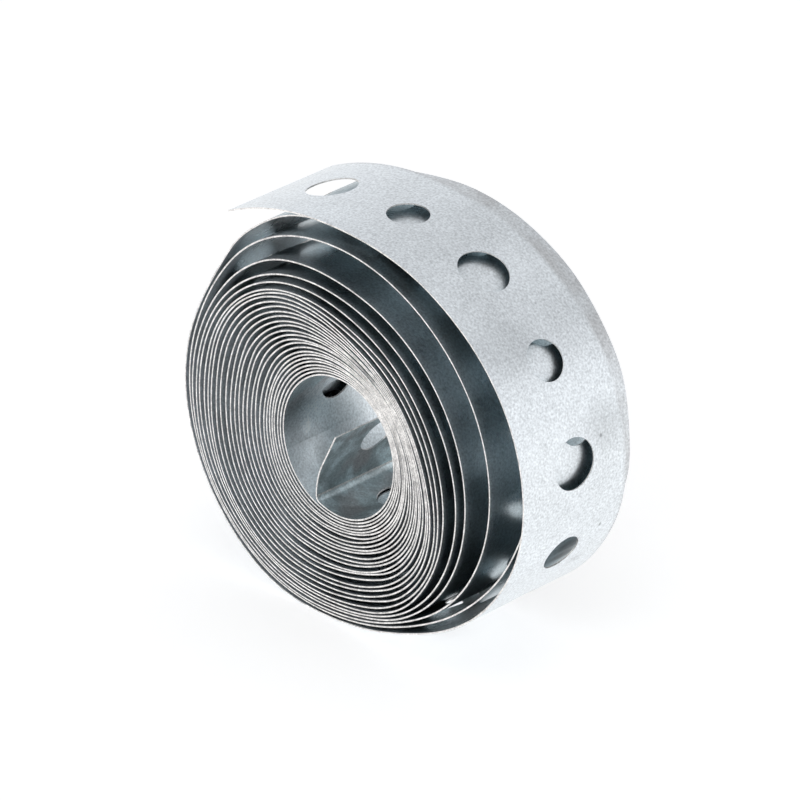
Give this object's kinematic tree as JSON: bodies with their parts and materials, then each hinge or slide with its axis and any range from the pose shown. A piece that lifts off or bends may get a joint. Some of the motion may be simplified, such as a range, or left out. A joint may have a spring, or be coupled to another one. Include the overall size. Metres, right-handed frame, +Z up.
{
  "type": "perforated strap roll",
  "caption": "Roll of thin perforated metal strap, wound on itself, with large and small round holes in turn along it, a sprung outer end and a tab bent into the bore.",
  "frame": {"origin": "on the floor, under the middle of the roll's outline and half way between its foremost and rearmost edges", "axes": "+X to the right seen from the front, +Y along the roll's axis away from the front end, +Z up; the roll stands on its rim"},
  "size_m": [0.0606, 0.0214, 0.056],
  "materials": {
    "strap": "galvanised, satin"
  },
  "bodies": {
    "root": {"strap": "strap"}
  },
  "joints": []
}
